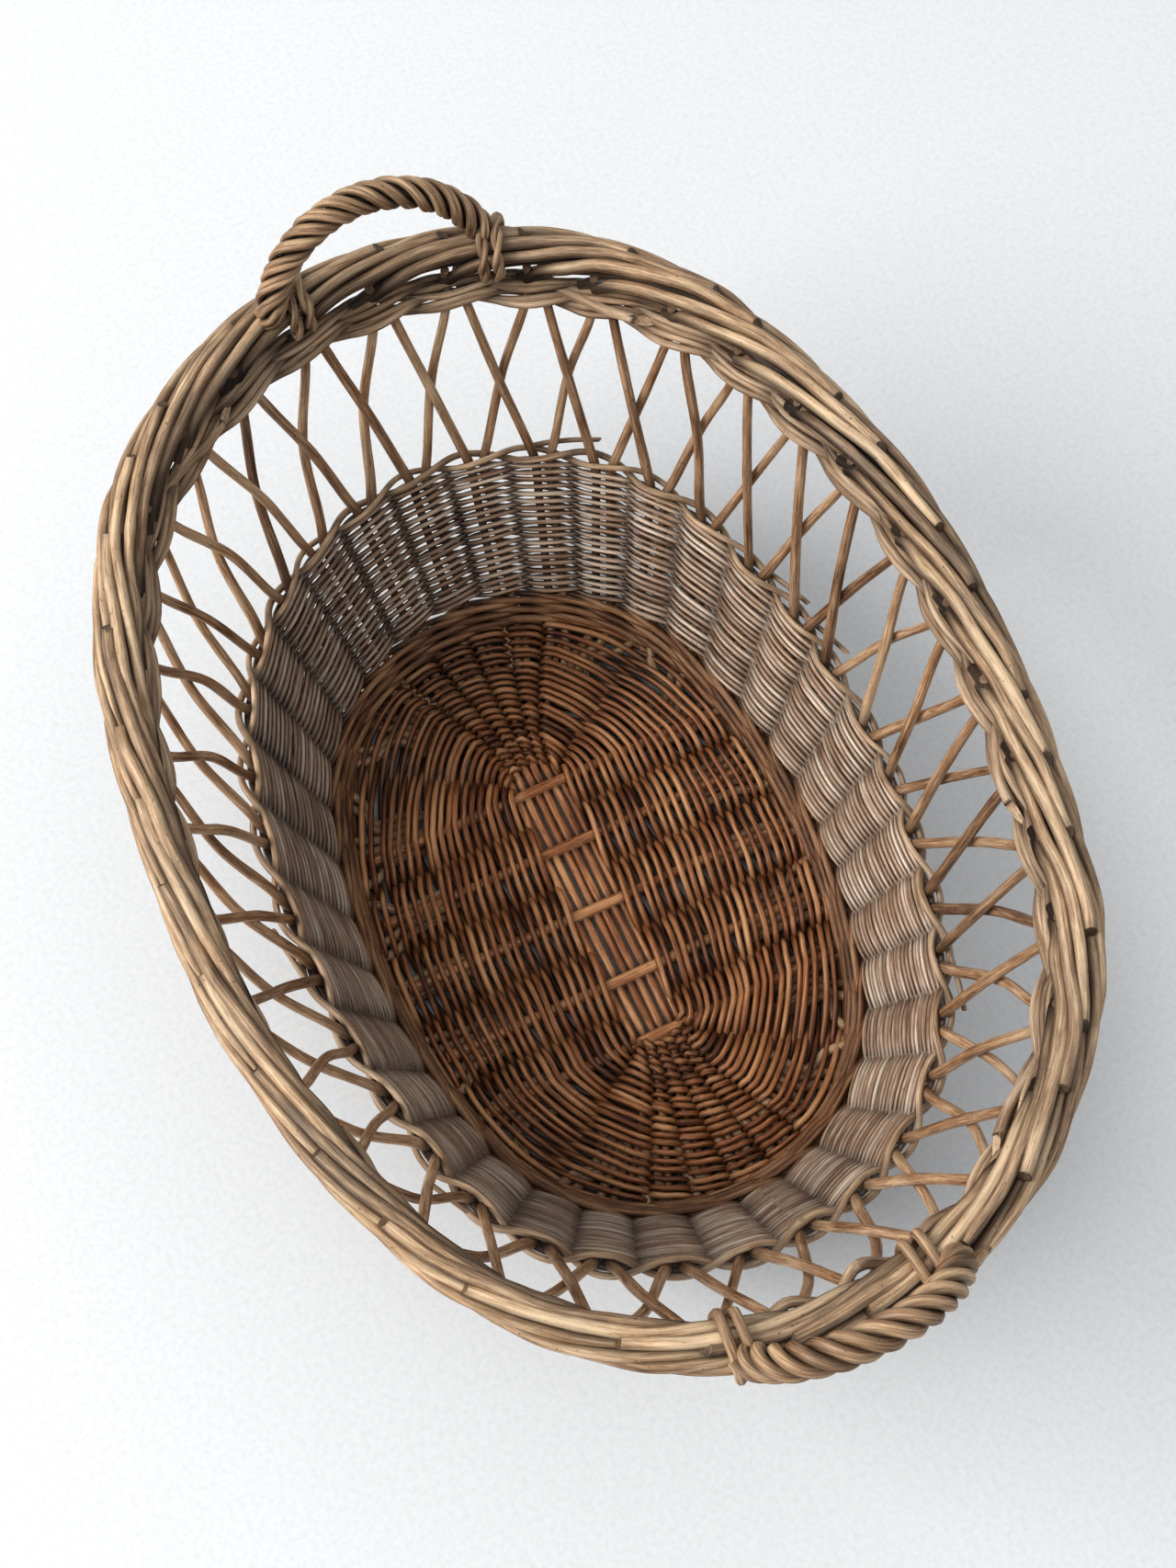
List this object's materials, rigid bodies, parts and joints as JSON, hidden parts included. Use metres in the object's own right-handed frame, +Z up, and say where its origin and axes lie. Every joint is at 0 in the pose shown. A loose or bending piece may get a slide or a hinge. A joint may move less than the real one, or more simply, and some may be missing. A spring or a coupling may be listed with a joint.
{
  "type": "oval openwork willow basket",
  "caption": "Large oval willow basket with a close-woven lower wall, crossed openwork above it, a rolled border and a twisted rope handle at each end.",
  "frame": {"origin": "centre of the plan outline at the underside of the base", "axes": "+X along the long axis, towards the end whose handle leans out; +Y across; +Z up"},
  "size_m": [0.725, 0.4862, 0.3368],
  "materials": {
    "base_willow": "aged willow rods, warm brown, slightly polished by use",
    "weaver_willow": "aged fine willow rods, grey-brown with a silvery sheen",
    "stake_willow": "aged willow rods, tan-brown, satin",
    "border_willow": "aged heavy willow rods, light tan worn on top, dark in the gaps",
    "handle_willow": "aged twisted willow rods, tan-brown, satin"
  },
  "bodies": {
    "root": {"base_cross_sticks": "base_willow", "base_long_sticks": "base_willow", "base_weave_lower": "base_willow", "base_weave_upper": "base_willow", "border_rods_inner": "border_willow", "border_rods_outer": "border_willow", "border_rods_top_inner": "border_willow", "border_rods_top_outer": "border_willow", "fitch_rods_inner": "border_willow", "fitch_rods_outer": "border_willow", "handle_far_core": "handle_willow", "handle_far_lashing_a": "handle_willow", "handle_far_lashing_b": "handle_willow", "handle_far_rope": "handle_willow", "handle_near_core": "handle_willow", "handle_near_lashing_a": "handle_willow", "handle_near_lashing_b": "handle_willow", "handle_near_rope": "handle_willow", "side_stakes_inner": "stake_willow", "side_stakes_outer": "stake_willow", "side_top_wale_inner": "weaver_willow", "side_top_wale_outer": "weaver_willow", "side_weave_inner": "weaver_willow", "side_weave_outer": "weaver_willow", "upsett_wale_inner": "weaver_willow", "upsett_wale_outer": "weaver_willow"}
  },
  "joints": []
}
